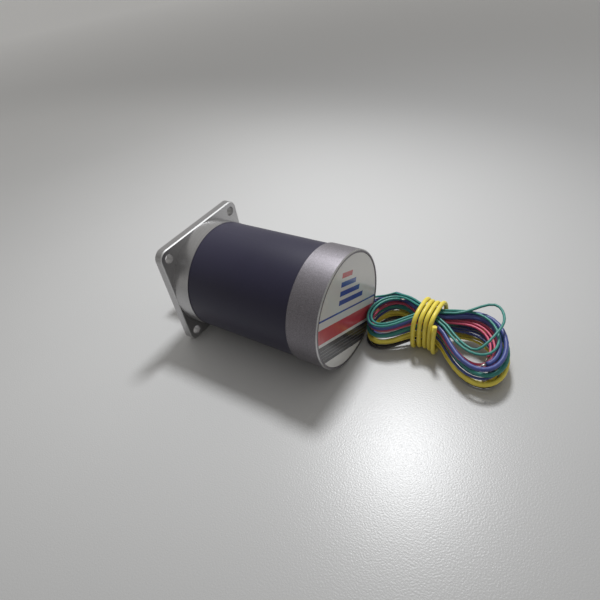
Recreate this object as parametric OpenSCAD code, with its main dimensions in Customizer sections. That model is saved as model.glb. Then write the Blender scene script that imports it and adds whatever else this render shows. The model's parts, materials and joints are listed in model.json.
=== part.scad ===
// Brushless DC motor with a square mounting flange, lying on one flat edge of that flange.
// X is the shaft's axis and points out of the mounting face, and Z is up.
// The origin is the centre of the mounting face, and everything behind it has a depth in -X.
// Lengths are in millimetres.

/* [Front cover] */
// How far the square flange's flat edges stand out from the body tube
flange_step = 0.75; // [0.7:0.05:2.6]
// Thickness of the mounting flange
flange_t = 4.6; // [3.4:0.1:7]
// Radius of the flange's corners
flange_corner_r = 5; // [2.5:0.1:7]
// Distance of the mounting holes from the flange's edges
hole_inset = 5.08; // [4.9:0.02:5.4]
// Diameter of the mounting holes
hole_d = 5; // [3.4:0.1:5.4]
// Diameter of the pilot boss
pilot_d = 38.1; // [30:0.1:42]
// Height of the pilot boss
pilot_h = 1.6; // [1:0.1:2.4]
// How far the round shoulder behind the flange stands out from the tube
shoulder_step = 0.3; // [0.2:0.05:0.6]
// Length of the shoulder between the flange and the tube
shoulder_l = 9.4; // [7:0.2:14]
// Chamfer on the outer edges of both covers
edge_chamfer = 0.5; // [0.2:0.1:0.8]

/* [Body tube and rear cover] */
// Outer diameter of the steel tube
tube_d = 55.8; // [55:0.1:56.2]
// Wall thickness of the tube
tube_wall = 1.5; // [1:0.1:1.8]
// Length of the tube between the covers
tube_l = 58.2; // [54:0.2:80]
// How far the rear cover stands out from the tube
rear_step = 0.7; // [0.5:0.05:0.7]
// Length of the rear cover
rear_l = 16; // [15:0.2:22]
// Thickness of the rear cover's end wall
rear_wall_t = 4.6; // [4:0.1:5.4]
// Length of the spigots that locate both covers in the tube
spigot_l = 3; // [2:0.1:4]
// Width of the rim round the label
rim_w = 1.3; // [1:0.1:1.5]
// Depth of the label's seat
label_seat_depth = 0.6; // [0.4:0.05:0.8]
// Thickness of the label
label_t = 0.4; // [0.2:0.05:0.5]

/* [Shaft] */
// Diameter of the shaft in both bearings
shaft_d = 8; // [7.9:0.01:8]
// Length of the shaft in front of the mounting face
shaft_out = 21; // [16:0.5:30]
// Diameter of the shaft inside the rotor
shaft_core_d = 10; // [9:0.1:11]
// Length of the flat at the shaft's front end
shaft_flat_l = 15; // [8:0.5:15.5]
// Depth of the flat
shaft_flat_depth = 0.5; // [0.3:0.1:0.8]

/* [Bearings] */
// Outer diameter of each ball bearing
bearing_od = 22; // [21.6:0.1:22.4]
// Width of each ball bearing
bearing_w = 7; // [6.8:0.1:7.6]
// Diameter of one ball
ball_d = 3.96; // [3.6:0.02:4]
// Number of balls in each bearing
ball_n = 7; // [5:1:8]

/* [Stator] */
// Room for the coils' ends between the lamination stack and each cover
coil_end_room = 9.1; // [8:0.1:12]
// Thickness of the yoke behind the slots
yoke_t = 4.8; // [4.6:0.1:5.4]
// Depth of the slots from the rotor's bore to the yoke
slot_depth = 7.08; // [6.8:0.04:8]
// Width of one stator tooth
tooth_w = 8; // [6.5:0.1:8.6]
// Height of a tooth's pole tip
tip_t = 1.8; // [1.2:0.1:2]
// Width of each slot's opening
slot_open = 2.4; // [1.8:0.1:3]
// Thickness of the copper on each side of a tooth
coil_t = 3.4; // [2.4:0.1:3.8]
// Thickness of the slot insulators
insulator_t = 0.8; // [0.5:0.1:1.2]

/* [Rotor] */
// Gap between the rotor and the stator's teeth
air_gap = 0.5; // [0.4:0.05:0.8]
// Thickness of the rotor's sleeve
sleeve_t = 0.32; // [0.2:0.02:0.5]
// Thickness of the magnets
magnet_t = 3; // [2.4:0.1:3.6]
// Number of rotor magnets
magnet_n = 4; // [2:2:8]

/* [Leads] */
// Outer diameter of the three phase leads
phase_lead_d = 2.1; // [1.9:0.05:2.15]
// Outer diameter of the five sensor leads
sensor_lead_d = 1.2; // [1:0.05:1.25]
// Diameter of the hole for the lead grommet
grommet_d = 10.5; // [10.4:0.1:11.2]
// Angle of the grommet below the horizontal
grommet_drop = 42; // [41:1:43]
// Turns of the lead that ties the hank
tie_turns = 4.5; // [3:0.5:5]

/* [Hidden] */
$fn = 96;
overrun = 1;
seat_gap = 0.02;
running_gap = 0.04;

pilot_r = pilot_d / 2;
tube_r = tube_d / 2;
shoulder_r = tube_r + shoulder_step;
flange_w = tube_d + 2 * flange_step;
hole_pitch = flange_w - 2 * hole_inset;
tube_bore_r = tube_r - tube_wall;
spigot_r = tube_bore_r - seat_gap;
rear_r = tube_r + rear_step;
floor_z = -flange_w / 2;

// Depths behind the mounting face
shoulder_end = flange_t + shoulder_l;
tube_end = shoulder_end + tube_l;
rear_end = tube_end + rear_l;
front_spigot_end = shoulder_end + spigot_l;
rear_spigot_start = tube_end - spigot_l;
label_seat_r = rear_r - rim_w;
label_edge_gap = 0.2;
label_r = label_seat_r - label_edge_gap;
label_at = rear_end - label_seat_depth;
rear_wall_at = label_at - rear_wall_t;

// Long screws that hold both covers on the tube
tie_screw_n = 3;
tie_screw_turn = 60;
tie_screw_d = 3;
tie_hole_d = 3.4;
tie_tap_d = 3.04;
tie_head_d = 5.5;
tie_head_h = 2.2;
tie_socket_w = 2.5;
tie_socket_depth = 1.3;
tie_pocket_d = 6;
tie_pocket_depth = 3;
tie_thread_l = 9.5;
tie_tap_spare = 0.6;
tie_pitch_r = tube_bore_r - yoke_t / 2;
tie_head_seat = label_at - tie_pocket_depth;
tie_screw_front = front_spigot_end - tie_thread_l;
cover_bore_wall = 0.4;
cover_bore_r = tie_pitch_r - tie_hole_d / 2 - cover_bore_wall;

// Front cover's web, shaft hole and bearing seat
web_t = 5;
front_lip_t = 3;
shaft_hole_r = 5.2;
seat_r = bearing_od / 2 + seat_gap;
hub_wall = 3.5;
hub_r = seat_r + hub_wall;
front_bearing_at = front_lip_t;
front_bearing_end = front_bearing_at + bearing_w;

// Rear cover's bearing seat and the spring behind the bearing
spring_h = 1;
spring_t = 0.3;
spring_w = 1.8;
spring_edge_gap = 0.2;
spring_waves = 3;
spring_steps = 48;
rear_bearing_end = rear_wall_at - spring_h;
rear_bearing_at = rear_bearing_end - bearing_w;

// Bearing
shaft_r = shaft_d / 2;
race_seat_gap = 0.01;
race_bore_r = shaft_r + race_seat_gap;
race_outer_r = bearing_od / 2;
race_t = 2.05;
ball_r = ball_d / 2;
ball_pitch_r = (race_bore_r + race_outer_r) / 2;
inner_race_r = race_bore_r + race_t;
outer_race_bore_r = race_outer_r - race_t;
groove_r = ball_r + running_gap;
cage_w = 5;
cage_side_gap = 0.8;
cage_inner_r = inner_race_r + cage_side_gap;
cage_outer_r = outer_race_bore_r - cage_side_gap;
pocket_gap = 0.07;
shield_t = 0.3;
shield_inset = 0.25;
shield_grip = 0.55;
shield_inner_gap = 0.15;
shield_seat_r = outer_race_bore_r + shield_grip;

// Stator
stator_r = tube_bore_r - seat_gap;
stack_l = tube_l - 2 * coil_end_room;
slot_bottom_r = stator_r - yoke_t;
stator_bore_r = slot_bottom_r - slot_depth;
rotor_r = stator_bore_r - air_gap;
tip_r = stator_bore_r + tip_t;
tooth_n = 6;
phase_n = 3;
coils_per_phase = tooth_n / phase_n;
tooth_root = 0.5;
stack_mid = (shoulder_end + tube_end) / 2;
stack_at = stack_mid - stack_l / 2;
stack_end = stack_mid + stack_l / 2;
liner_gap = 0.4;
coil_start_gap = 0.5;
coil_back_gap = 0.2;
coil_corner_r = liner_gap;
coil_inner_w = tooth_w + 2 * liner_gap;
coil_inner_l = stack_l + 2 * insulator_t;
coil_start_r = tip_r + coil_start_gap;
coil_back_r = slot_bottom_r - coil_back_gap;
collar_rise = 0.4;
collar_l = insulator_t + coil_t + collar_rise;
collar_in_t = 0.3;
collar_out_gap = 0.15;
collar_out_r = tie_pitch_r - tie_hole_d / 2 - collar_out_gap;
collar_out_in_r = slot_bottom_r - collar_out_gap;
insulator_bore_gap = 0.1;
wedge_t = 0.7;
wedge_half_angle = 8.6;

// Rotor
magnet_outer_r = rotor_r - sleeve_t - seat_gap;
magnet_inner_r = magnet_outer_r - magnet_t;
rotor_core_r = magnet_inner_r - seat_gap;
magnet_gap = 1.2;
core_hole_d = 2.6;
core_hole_n = 6;
shaft_core_r = shaft_core_d / 2;
rotor_front_overhang = 1.5;
rotor_rear_overhang = 3.5;
rotor_at = stack_at - rotor_front_overhang;
rotor_end = stack_end + rotor_rear_overhang;
end_ring_t = 1;
end_ring_edge = 0.4;
shaft_chamfer = 0.5;
relief_depth = 0.3;
relief_from_pilot = 0.6;
relief_to_bearing = 0.4;
shaft_tail = 0.4;
shaft_end = rear_bearing_end + shaft_tail;

// Sensor board
sensor_gap = 1;
sensor_t = 1.4;
sensor_w = 4;
sensor_h = 3;
sensor_n = 3;
sensor_step = 60;
sensor_turn = 40;
board_t = 1.6;
board_edge_gap = 0.4;
board_bore_r = 7.5;
board_at = rotor_end + end_ring_t + sensor_gap + sensor_t;
board_end = board_at + board_t;
board_r = cover_bore_r - board_edge_gap;
sensor_pitch_r = (magnet_inner_r + magnet_outer_r) / 2;
post_n = 3;
post_turn = 70;
post_d = 5;
post_edge_gap = 1.5;
post_pitch_r = cover_bore_r - post_d / 2 - post_edge_gap;
board_screw_d = 2.4;
board_screw_l = 6;
board_screw_gap = 0.1;
board_head_d = 4.4;
board_head_h = 1.5;
board_slot_w = 0.6;
board_slot_depth = 0.6;
chip_w = 2;
chip_l = 1.2;
chip_t = 0.9;
chip_n = 6;
chip_turn = 200;
chip_step = 20;
chip_pitch_r = board_bore_r + board_edge_gap + chip_w;

// Lead grommet
grommet_turn = 270 - grommet_drop;
grommet_r = grommet_d / 2;
grommet_flange_w = 1.2;
grommet_flange_r = grommet_r + grommet_flange_w;
grommet_flange_t = 1.5;
grommet_stem_l = 5;
grommet_pad_drop = 0.7;
grommet_pad_gap = 0.2;
grommet_pad_r = rear_r - grommet_pad_drop;
grommet_face_r = grommet_pad_r + grommet_flange_t;
grommet_inset = 7.3;
grommet_at = tube_end + grommet_inset;

// Leads, from the lowest layer of the hank to the highest
lead_names = [
    "sensor_black", "sensor_yellow", "phase_yellow", "sensor_blue",
    "phase_green", "sensor_red", "phase_blue", "sensor_green"
];
lead_colors = [
    "#1c1b1d", "#d9c81e", "#e0cf22", "#2b3fae", "#0f7a5a", "#c8324a", "#23409c", "#15805f"
];
lead_d = [for (name = lead_names) name[0] == "p" ? phase_lead_d : sensor_lead_d];
lead_n = len(lead_names);
lead_sides = 8;
loop_sides = 6;
loop_rings = 24;
lead_gap = 0.5;
floor_gap = 0.1;

// Places of the leads on the grommet's face: along the motor, and up the face
lead_exits = [
    [-0.9, -3.6], [0.9, -3.6], [-1.2, -1.5], [1, -1.6],
    [-1.2, 1.1], [1, 1.1], [-1.2, 3.7], [1, 3.7]
];
lead_out_l = 2.5;
lead_in_l = 3;
// Bends of each free lead between the grommet and the hank
lead_bends = [
    [[-81.6, -27.6, -27.6], [-88.4, -34.4, -27.4]],
    [[-80.7, -29, -26.3], [-88.1, -36, -26.2]],
    [[-83.5, -28.3, -25.9], [-89.8, -34.2, -24.8]],
    [[-81.6, -31.1, -24.9], [-90.5, -37.1, -22.8]],
    [[-83.4, -30.4, -23.6], [-90.3, -34.9, -21.7]],
    [[-82.8, -35, -24], [-91.5, -39.2, -20.2]],
    [[-83.5, -33.4, -22], [-89.2, -36.9, -20.3]],
    [[-80.8, -33.1, -20.5], [-88.8, -35.3, -18.2]]
];
lead_bend_rings = [for (d = lead_d) d == phase_lead_d ? 2 : 3];

// Hank: where it is tied, and how far the loops of each lead reach from there
hank_x = -118;
hank_y = -22.5;
hank_start = 238;
loop_reach_out = [37, 37, 38.5, 36, 38, 34, 37, 33];
loop_reach_in = [31, 31, 30.6, 30.3, 30.5, 30.1, 30.5, 30];
loop_plump_out = [1.12, 1.08, 1.25, 1.1, 1.18, 1.14, 1.26, 1.06];
loop_plump_in = [1.38, 1.33, 1.38, 1.38, 1.38, 1.34, 1.38, 1.34];
loop_swing = [0, 3, -1, 4, -2, 2, 0, -3];
loop_turns = [2.05, 2.4, 1.42, 2.3, 1.4, 2.35, 1.42, 2];
loop_waist = [1.9, 2.375, 1.45, 2.375, 1.45, 2.375, 1.45, 1.9];
waist_l = 3.2;
bow_out = 0.33;
bow_in = 0.2;
bow_l = 12;
tie_lift = 4.1;
tie_lift_l = 14;
tilt_rise = 0.12;
tilt_rise_in = 0.036;
tilt_y = 22;
tilt_l = 30;
outline_step = 1;
// The last loop of the topmost lead strays out of the hank
stray_turn = 1.3;
stray_half = 0.18;
stray_u = 1;
stray_v = -9.5;
stray_lift = 4.3;

// Tie: a phase lead wound round the hank's waist
tie_d = phase_lead_d;
tie_gap = 0.45;
tie_half_y = 8.1;
tie_half_z = 10.75;
tie_square = 3.2;
tie_flare_l = 11;
tie_start = 200;
tie_tail_l = 4;

// The frame of depths: local Z runs backwards from the mounting face, and local X is up
module behind(depth = 0) {
    rotate([0, -90, 0]) translate([0, 0, depth]) children();
}

// Copies spaced evenly round the shaft, with the first one turned from straight up
module around(count, turn = 0) {
    for (k = [0 : count - 1]) rotate(turn + k * 360 / count) children();
}

// A solid of revolution on the shaft's axis, from points of radius and depth
module turned(outline) {
    behind() rotate_extrude() polygon(outline);
}

module ring(outer_r, inner_r, from, to) {
    turned([[inner_r, from], [outer_r, from], [outer_r, to], [inner_r, to]]);
}

module washer_shape(outer_r, inner_r) {
    difference() {
        circle(r = outer_r);
        circle(r = inner_r);
    }
}

module rounded_shape(w, l, r) {
    square([w - 2 * r, l], center = true);
    square([w, l - 2 * r], center = true);
    for (x = [-1, 1], y = [-1, 1]) translate([x * (w / 2 - r), y * (l / 2 - r)]) circle(r = r);
}

// Square plate with round corners and chamfered edges, standing on local Z zero
module chamfered_plate(w, t, r, c) {
    half = w / 2;
    edge = [
        [c - half, 0], [half - c, 0], [half, c], [half, t - c],
        [half - c, t], [c - half, t], [-half, t - c], [-half, c]
    ];
    corner = [[0, 0], [r - c, 0], [r, c], [r, t - c], [r - c, t], [0, t]];
    for (turn = [0, 90]) {
        rotate([90, 0, turn]) linear_extrude(height = w - 2 * r, center = true) polygon(edge);
    }
    around(4) translate([half - r, half - r, 0]) rotate_extrude() polygon(corner);
}

// Front cover: flange, pilot boss, shoulder, spigot and the front bearing's seat
module front_cover() {
    outside = [
        [0, -pilot_h], [pilot_r - edge_chamfer, -pilot_h], [pilot_r, edge_chamfer - pilot_h],
        [pilot_r, flange_t / 2], [shoulder_r, flange_t / 2], [shoulder_r, shoulder_end],
        [spigot_r, shoulder_end], [spigot_r, front_spigot_end], [0, front_spigot_end]
    ];
    inside = [
        [0, -pilot_h - overrun], [shaft_hole_r, -pilot_h - overrun], [shaft_hole_r, front_bearing_at],
        [seat_r, front_bearing_at], [seat_r, front_bearing_end], [hub_r, front_bearing_end],
        [hub_r, web_t], [cover_bore_r, web_t], [cover_bore_r, front_spigot_end + overrun],
        [0, front_spigot_end + overrun]
    ];
    color("#b9b8b6") difference() {
        union() {
            behind() chamfered_plate(flange_w, flange_t, flange_corner_r, edge_chamfer);
            turned(outside);
        }
        turned(inside);
        behind(-overrun) around(4) translate([hole_pitch / 2, hole_pitch / 2, 0]) {
            cylinder(d = hole_d, h = flange_t + 2 * overrun);
        }
        behind(tie_screw_front - tie_tap_spare) around(tie_screw_n, tie_screw_turn) {
            translate([tie_pitch_r, 0, 0]) cylinder(d = tie_tap_d, h = tie_thread_l + tie_tap_spare + overrun);
        }
    }
}

module housing_tube() {
    color("#1d1d24") ring(tube_r, tube_bore_r, shoulder_end, tube_end);
}

// Moves to a place round the rear cover, with local Z pointing away from the shaft
module radially(turn, depth) {
    behind(depth) rotate(turn) rotate([0, 90, 0]) children();
}

// Rear cover: spigot, label seat, rear bearing's seat and the sensor board's posts
module rear_cover() {
    outside = [
        [0, rear_spigot_start], [spigot_r, rear_spigot_start], [spigot_r, tube_end],
        [rear_r - edge_chamfer, tube_end], [rear_r, tube_end + edge_chamfer],
        [rear_r, rear_end - edge_chamfer], [rear_r - edge_chamfer, rear_end],
        [label_seat_r, rear_end], [label_seat_r, label_at], [0, label_at]
    ];
    inside = [
        [0, rear_spigot_start - overrun], [cover_bore_r, rear_spigot_start - overrun],
        [cover_bore_r, rear_wall_at], [hub_r, rear_wall_at], [hub_r, rear_bearing_at],
        [seat_r, rear_bearing_at], [seat_r, rear_wall_at], [0, rear_wall_at]
    ];
    color("#b4b3b4") difference() {
        union() {
            difference() {
                turned(outside);
                turned(inside);
            }
            behind(board_end) around(post_n, post_turn) translate([post_pitch_r, 0, 0]) {
                cylinder(d = post_d, h = rear_wall_at - board_end + rear_wall_t / 2);
            }
        }
        behind(board_end - overrun) around(post_n, post_turn) translate([post_pitch_r, 0, 0]) {
            cylinder(d = board_screw_d + 2 * seat_gap, h = overrun + board_screw_l);
        }
        behind(rear_spigot_start - overrun) around(tie_screw_n, tie_screw_turn) {
            translate([tie_pitch_r, 0, 0]) cylinder(d = tie_hole_d, h = rear_l + spigot_l);
        }
        behind(tie_head_seat) around(tie_screw_n, tie_screw_turn) translate([tie_pitch_r, 0, 0]) {
            cylinder(d = tie_pocket_d, h = tie_pocket_depth + overrun);
        }
        radially(grommet_turn, grommet_at) {
            translate([0, 0, hub_r + overrun]) cylinder(r = grommet_r, h = rear_r - hub_r);
            translate([0, 0, grommet_pad_r]) {
                cylinder(r = grommet_flange_r + grommet_pad_gap, h = grommet_flange_t + overrun);
            }
        }
    }
}

module rear_label() {
    color("#c9c8c6") behind(label_at) cylinder(r = label_r, h = label_t);
}

// Three long socket screws, from under the label to the front cover
module tie_screws() {
    shank_l = tie_head_seat - tie_screw_front;
    color("#8d8e92") behind() around(tie_screw_n, tie_screw_turn) translate([tie_pitch_r, 0, 0]) {
        difference() {
            union() {
                translate([0, 0, tie_screw_front]) cylinder(d = tie_screw_d, h = shank_l);
                translate([0, 0, tie_head_seat]) cylinder(d = tie_head_d, h = tie_head_h);
            }
            translate([0, 0, tie_head_seat + tie_head_h - tie_socket_depth]) {
                cylinder(d = tie_socket_w, h = tie_socket_depth + overrun, $fn = 6);
            }
        }
    }
}

// One lamination: yoke, teeth and pole tips
module lamination_shape() {
    difference() {
        union() {
            washer_shape(stator_r, slot_bottom_r);
            around(tooth_n) translate([stator_bore_r + tooth_root, -tooth_w / 2]) {
                square([slot_bottom_r - stator_bore_r, tooth_w]);
            }
            difference() {
                washer_shape(tip_r, stator_bore_r);
                around(tooth_n, 180 / tooth_n) translate([0, -slot_open / 2]) {
                    square([tip_r + overrun, slot_open]);
                }
            }
        }
        around(tie_screw_n, tie_screw_turn) translate([tie_pitch_r, 0]) circle(d = tie_hole_d);
    }
}

module stator_core() {
    color("#6d6f74") behind(stack_at) linear_extrude(height = stack_l) lamination_shape();
}

// Insulator on one end of the stack, with collars that hold the coils' ends, from local Z zero
module insulator_shape(from_r, to_r) {
    intersection() {
        lamination_shape();
        washer_shape(to_r, from_r);
    }
}

module insulator() {
    linear_extrude(height = insulator_t) {
        insulator_shape(stator_bore_r + insulator_bore_gap, collar_out_r);
    }
    linear_extrude(height = collar_l) {
        washer_shape(collar_out_r, collar_out_in_r);
        insulator_shape(stator_bore_r + insulator_bore_gap, tip_r - collar_in_t);
    }
}

module front_insulator() {
    color("#e8e4d8") behind(stack_at) mirror([0, 0, 1]) insulator();
}

module rear_insulator() {
    color("#e8e4d8") behind(stack_end) insulator();
}

module slot_wedges() {
    reach = tip_r + wedge_t;
    spread = reach * tan(wedge_half_angle);
    color("#9b2d24") behind(stack_at) around(tooth_n, 180 / tooth_n) {
        linear_extrude(height = stack_l) intersection() {
            washer_shape(reach, tip_r + seat_gap);
            polygon([[0, 0], [reach + overrun, -spread], [reach + overrun, spread]]);
        }
    }
}

// One coil round the tooth that points straight up
module coil() {
    color("#b4622d") behind() intersection() {
        translate([coil_start_r, 0, stack_mid]) rotate([90, 0, 90]) {
            linear_extrude(height = slot_bottom_r - coil_start_r) difference() {
                rounded_shape(
                    coil_inner_w + 2 * coil_t, coil_inner_l + 2 * coil_t, coil_corner_r + coil_t
                );
                rounded_shape(coil_inner_w, coil_inner_l, coil_corner_r);
            }
        }
        translate([0, 0, shoulder_end]) cylinder(r = coil_back_r, h = tube_l);
    }
}

// The coils of one phase sit on opposite teeth
module winding(phase) {
    for (k = [0 : coils_per_phase - 1]) {
        rotate([-(phase + k * phase_n) * 360 / tooth_n, 0, 0]) coil();
    }
}

module hall_board() {
    color("#1f6b45") behind(board_at) difference() {
        cylinder(r = board_r, h = board_t);
        translate([0, 0, -overrun]) cylinder(r = board_bore_r, h = board_t + 2 * overrun);
        around(post_n, post_turn) translate([post_pitch_r, 0, -overrun]) {
            cylinder(d = board_screw_d + 2 * board_screw_gap, h = board_t + 2 * overrun);
        }
    }
}

module hall_sensors() {
    color("#222326") behind(board_at - sensor_t) for (k = [0 : sensor_n - 1]) {
        rotate(sensor_turn + k * sensor_step) translate([sensor_pitch_r - sensor_h / 2, -sensor_w / 2, 0]) {
            cube([sensor_h, sensor_w, sensor_t]);
        }
    }
}

module board_chips() {
    color("#8b7a5c") behind(board_end) for (k = [0 : chip_n - 1]) {
        rotate(chip_turn + k * chip_step) translate([chip_pitch_r, -chip_l / 2, 0]) {
            cube([chip_w, chip_l, chip_t]);
        }
    }
}

module board_screws() {
    color("#a9aaad") behind(board_at) around(post_n, post_turn) translate([post_pitch_r, 0, 0]) {
        difference() {
            union() {
                translate([0, 0, -board_head_h]) cylinder(d = board_head_d, h = board_head_h);
                cylinder(d = board_screw_d, h = board_screw_l);
            }
            translate([-board_head_d, -board_slot_w / 2, -board_head_h - overrun]) {
                cube([2 * board_head_d, board_slot_w, board_slot_depth + overrun]);
            }
        }
    }
}

// Wave washer that presses the rear bearing forwards
function spring_level(a, face) = spring_h / 2 + face * spring_t / 2
    + (spring_h - spring_t) / 2 * cos(a * spring_waves);
function spring_ring(a) = let(
        outer = race_outer_r - spring_edge_gap, inner = outer - spring_w
    ) [
        for (corner = [[inner, -1], [outer, -1], [outer, 1], [inner, 1]])
            [corner[0] * cos(a), corner[0] * sin(a), spring_level(a, corner[1])]
    ];
module wave_spring() {
    points = [for (k = [0 : spring_steps - 1]) each spring_ring(k * 360 / spring_steps)];
    faces = [
        for (k = [0 : spring_steps - 1], c = [0 : 3])
            let(next = (k + 1) % spring_steps, e = (c + 1) % 4)
            each [
                [k * 4 + c, k * 4 + e, next * 4 + e],
                [k * 4 + c, next * 4 + e, next * 4 + c]
            ]
    ];
    color("#b9bcc4") behind(rear_bearing_end) polyhedron(points, faces);
}

module lead_grommet() {
    color("#26262a") radially(grommet_turn, grommet_at) {
        translate([0, 0, grommet_pad_r]) cylinder(r = grommet_flange_r, h = grommet_flange_t);
        translate([0, 0, grommet_pad_r - grommet_stem_l]) {
            cylinder(r = grommet_r - seat_gap, h = grommet_stem_l + grommet_flange_t / 2);
        }
    }
}

// Parts of one ball bearing, standing on local Z zero
module groove() {
    translate([ball_pitch_r, bearing_w / 2]) circle(r = groove_r);
}

module inner_race(depth) {
    color("#c4c6ca") behind(depth) rotate_extrude() difference() {
        translate([race_bore_r, 0]) square([race_t, bearing_w]);
        groove();
    }
}

module outer_race(depth) {
    recess = shield_inset + shield_t;
    color("#bfc1c6") behind(depth) rotate_extrude() difference() {
        translate([outer_race_bore_r, 0]) square([race_t, bearing_w]);
        groove();
        translate([outer_race_bore_r - overrun, -overrun]) {
            square([shield_grip + overrun, recess + overrun]);
        }
        translate([outer_race_bore_r - overrun, bearing_w - recess]) {
            square([shield_grip + overrun, recess + overrun]);
        }
    }
}

module shields(depth) {
    inner = inner_race_r + shield_inner_gap;
    outer = shield_seat_r - seat_gap;
    color("#aeb0b5") for (at = [shield_inset, bearing_w - shield_inset - shield_t]) {
        ring(outer, inner, depth + at, depth + at + shield_t);
    }
}

module balls(depth) {
    color("#d4d6da") behind(depth + bearing_w / 2) around(ball_n) {
        translate([ball_pitch_r, 0, 0]) sphere(r = ball_r);
    }
}

module cage(depth) {
    color("#b08a4a") behind(depth + bearing_w / 2) difference() {
        cylinder(r = cage_outer_r, h = cage_w, center = true);
        cylinder(r = cage_inner_r, h = cage_w + 2 * overrun, center = true);
        around(ball_n) translate([ball_pitch_r, 0, 0]) rotate([0, 90, 0]) {
            cylinder(r = ball_r + pocket_gap, h = 2 * ball_r, center = true);
        }
    }
}

// Shaft with a shoulder at each bearing, a ground relief in front of them and a flat at its end
module shaft() {
    relief_start = -pilot_h - relief_from_pilot;
    relief_end = front_bearing_at - relief_to_bearing;
    outline = [
        [0, -shaft_out], [shaft_r - shaft_chamfer, -shaft_out], [shaft_r, shaft_chamfer - shaft_out],
        [shaft_r, relief_start], [shaft_r - relief_depth, relief_start],
        [shaft_r - relief_depth, relief_end], [shaft_r, relief_end],
        [shaft_r, front_bearing_end], [shaft_core_r, front_bearing_end],
        [shaft_core_r, rear_bearing_at], [shaft_r, rear_bearing_at],
        [shaft_r, shaft_end - shaft_chamfer], [shaft_r - shaft_chamfer, shaft_end], [0, shaft_end]
    ];
    color("#a7a9ad") difference() {
        turned(outline);
        behind(-shaft_out - overrun) translate([shaft_r - shaft_flat_depth, -shaft_r, 0]) {
            cube([shaft_r, 2 * shaft_r, shaft_flat_l + overrun]);
        }
    }
}

module rotor_core() {
    hole_pitch_r = (shaft_core_r + rotor_core_r) / 2;
    color("#6a6c70") behind(rotor_at) linear_extrude(height = rotor_end - rotor_at) difference() {
        washer_shape(rotor_core_r, shaft_core_r + race_seat_gap);
        around(core_hole_n) translate([hole_pitch_r, 0]) circle(d = core_hole_d);
    }
}

module rotor_magnets() {
    color("#4b4b50") behind(rotor_at) linear_extrude(height = rotor_end - rotor_at) difference() {
        washer_shape(magnet_outer_r, magnet_inner_r);
        around(magnet_n, 180 / magnet_n) translate([0, -magnet_gap / 2]) {
            square([magnet_outer_r + overrun, magnet_gap]);
        }
    }
}

module rotor_sleeve() {
    color("#8f9196") ring(rotor_r, rotor_r - sleeve_t, rotor_at, rotor_end);
}

module rotor_end_rings() {
    outer = magnet_outer_r - end_ring_edge;
    inner = shaft_core_r + race_seat_gap;
    color("#c3a24a") for (at = [rotor_at - end_ring_t, rotor_end]) ring(outer, inner, at, at + end_ring_t);
}

// Tubes swept along points
function unit(v) = v / norm(v);
function heading(points, k) = unit(
    points[min(k + 1, len(points) - 1)] - points[max(k - 1, 0)]
);
function tube_ring(points, k, r, sides, up) = let(
        ahead = heading(points, k), side = unit(cross(up, ahead)), top = cross(ahead, side)
    ) [
        for (j = [0 : sides - 1])
            points[k] + r * (side * cos(j * 360 / sides) + top * sin(j * 360 / sides))
    ];
module swept(points, r, sides, up) {
    n = len(points);
    corners = [for (k = [0 : n - 1]) each tube_ring(points, k, r, sides, up)];
    walls = [
        for (k = [0 : n - 2], j = [0 : sides - 1])
            let(a = k * sides + j, b = k * sides + (j + 1) % sides)
            each [[a, a + sides, b + sides], [a, b + sides, b]]
    ];
    first_end = [for (j = [0 : sides - 1]) j];
    last_end = [for (j = [sides - 1 : -1 : 0]) (n - 1) * sides + j];
    polyhedron(corners, concat([first_end], walls, [last_end]));
}

// Height of a lead's layer above the floor
function stacked(i) = i == 0 ? 0 : stacked(i - 1) + lead_d[i - 1] + lead_gap;
function layer_h(i) = floor_gap + stacked(i) + lead_d[i] / 2;

// Flat outline of a lead's outer loop: an oval drawn in at the tie, and bowed about it
function oval_half(u, reach, waist) = let(
        far = (reach * reach + waist * waist) / 2, near = (reach * reach - waist * waist) / 2
    ) sqrt(max(0, sqrt(far * far + 4 * near * u * u) - u * u - near));
function bowed(p) = [
    p[0], p[1] + (p[0] > 0 ? bow_out : bow_in) * (norm([p[0], bow_l]) - bow_l)
];
function swung(p, a) = [p[0] * cos(a) - p[1] * sin(a), p[0] * sin(a) + p[1] * cos(a)];
function loop_outline(i, a) = let(
        out = cos(a) > 0,
        reach = (out ? loop_reach_out[i] : loop_reach_in[i]) - waist_l,
        plump = out ? loop_plump_out[i] : loop_plump_in[i],
        u = reach * cos(a),
        waist = loop_waist[i] * (lead_d[i] + lead_gap) / plump,
        v = plump * oval_half(u, reach, waist),
        drawn_out = u + waist_l * u / norm([u, waist_l])
    ) bowed(swung([drawn_out, sin(a) < 0 ? -v : v], loop_swing[i]));

// Place of a lead after some turns: the outline, drawn in by a step each turn
function loop_place(i, turn) = let(
        a = hank_start + 360 * turn,
        ahead = unit(loop_outline(i, a + outline_step) - loop_outline(i, a - outline_step)),
        drawn_in = (lead_d[i] + lead_gap) * turn
    ) loop_outline(i, a) - [ahead[1], -ahead[0]] * drawn_in;
function eased(t) = t * t * (3 - 2 * t);
function laid(i, p) = [
    hank_x - p[0],
    hank_y + p[1],
    floor_z + layer_h(i) + tie_lift * exp(-pow(p[0] / tie_lift_l, 2))
        + (p[0] > 0 ? tilt_rise : tilt_rise_in) * (tilt_y - p[1]) * eased(min(1, abs(p[0]) / tilt_l))
];
function straying(i, turn) = i < lead_n - 1 ? 0 : let(s = (turn - stray_turn) / stray_half)
    eased(max(0, 1 - s * s));
function loop_points(i) = [
    for (k = [0 : round(loop_turns[i] * loop_rings)])
        let(turn = k / loop_rings, stray = straying(i, turn))
        laid(i, loop_place(i, turn)) + [
            -stray * stray * stray_u, stray * stray * stray_v, stray * stray_lift
        ]
];
function hank_path(i) = let(
        points = loop_points(i), ahead = unit(points[1] - points[0])
    ) concat([points[0] - ahead * lead_d[i]], points);

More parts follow.
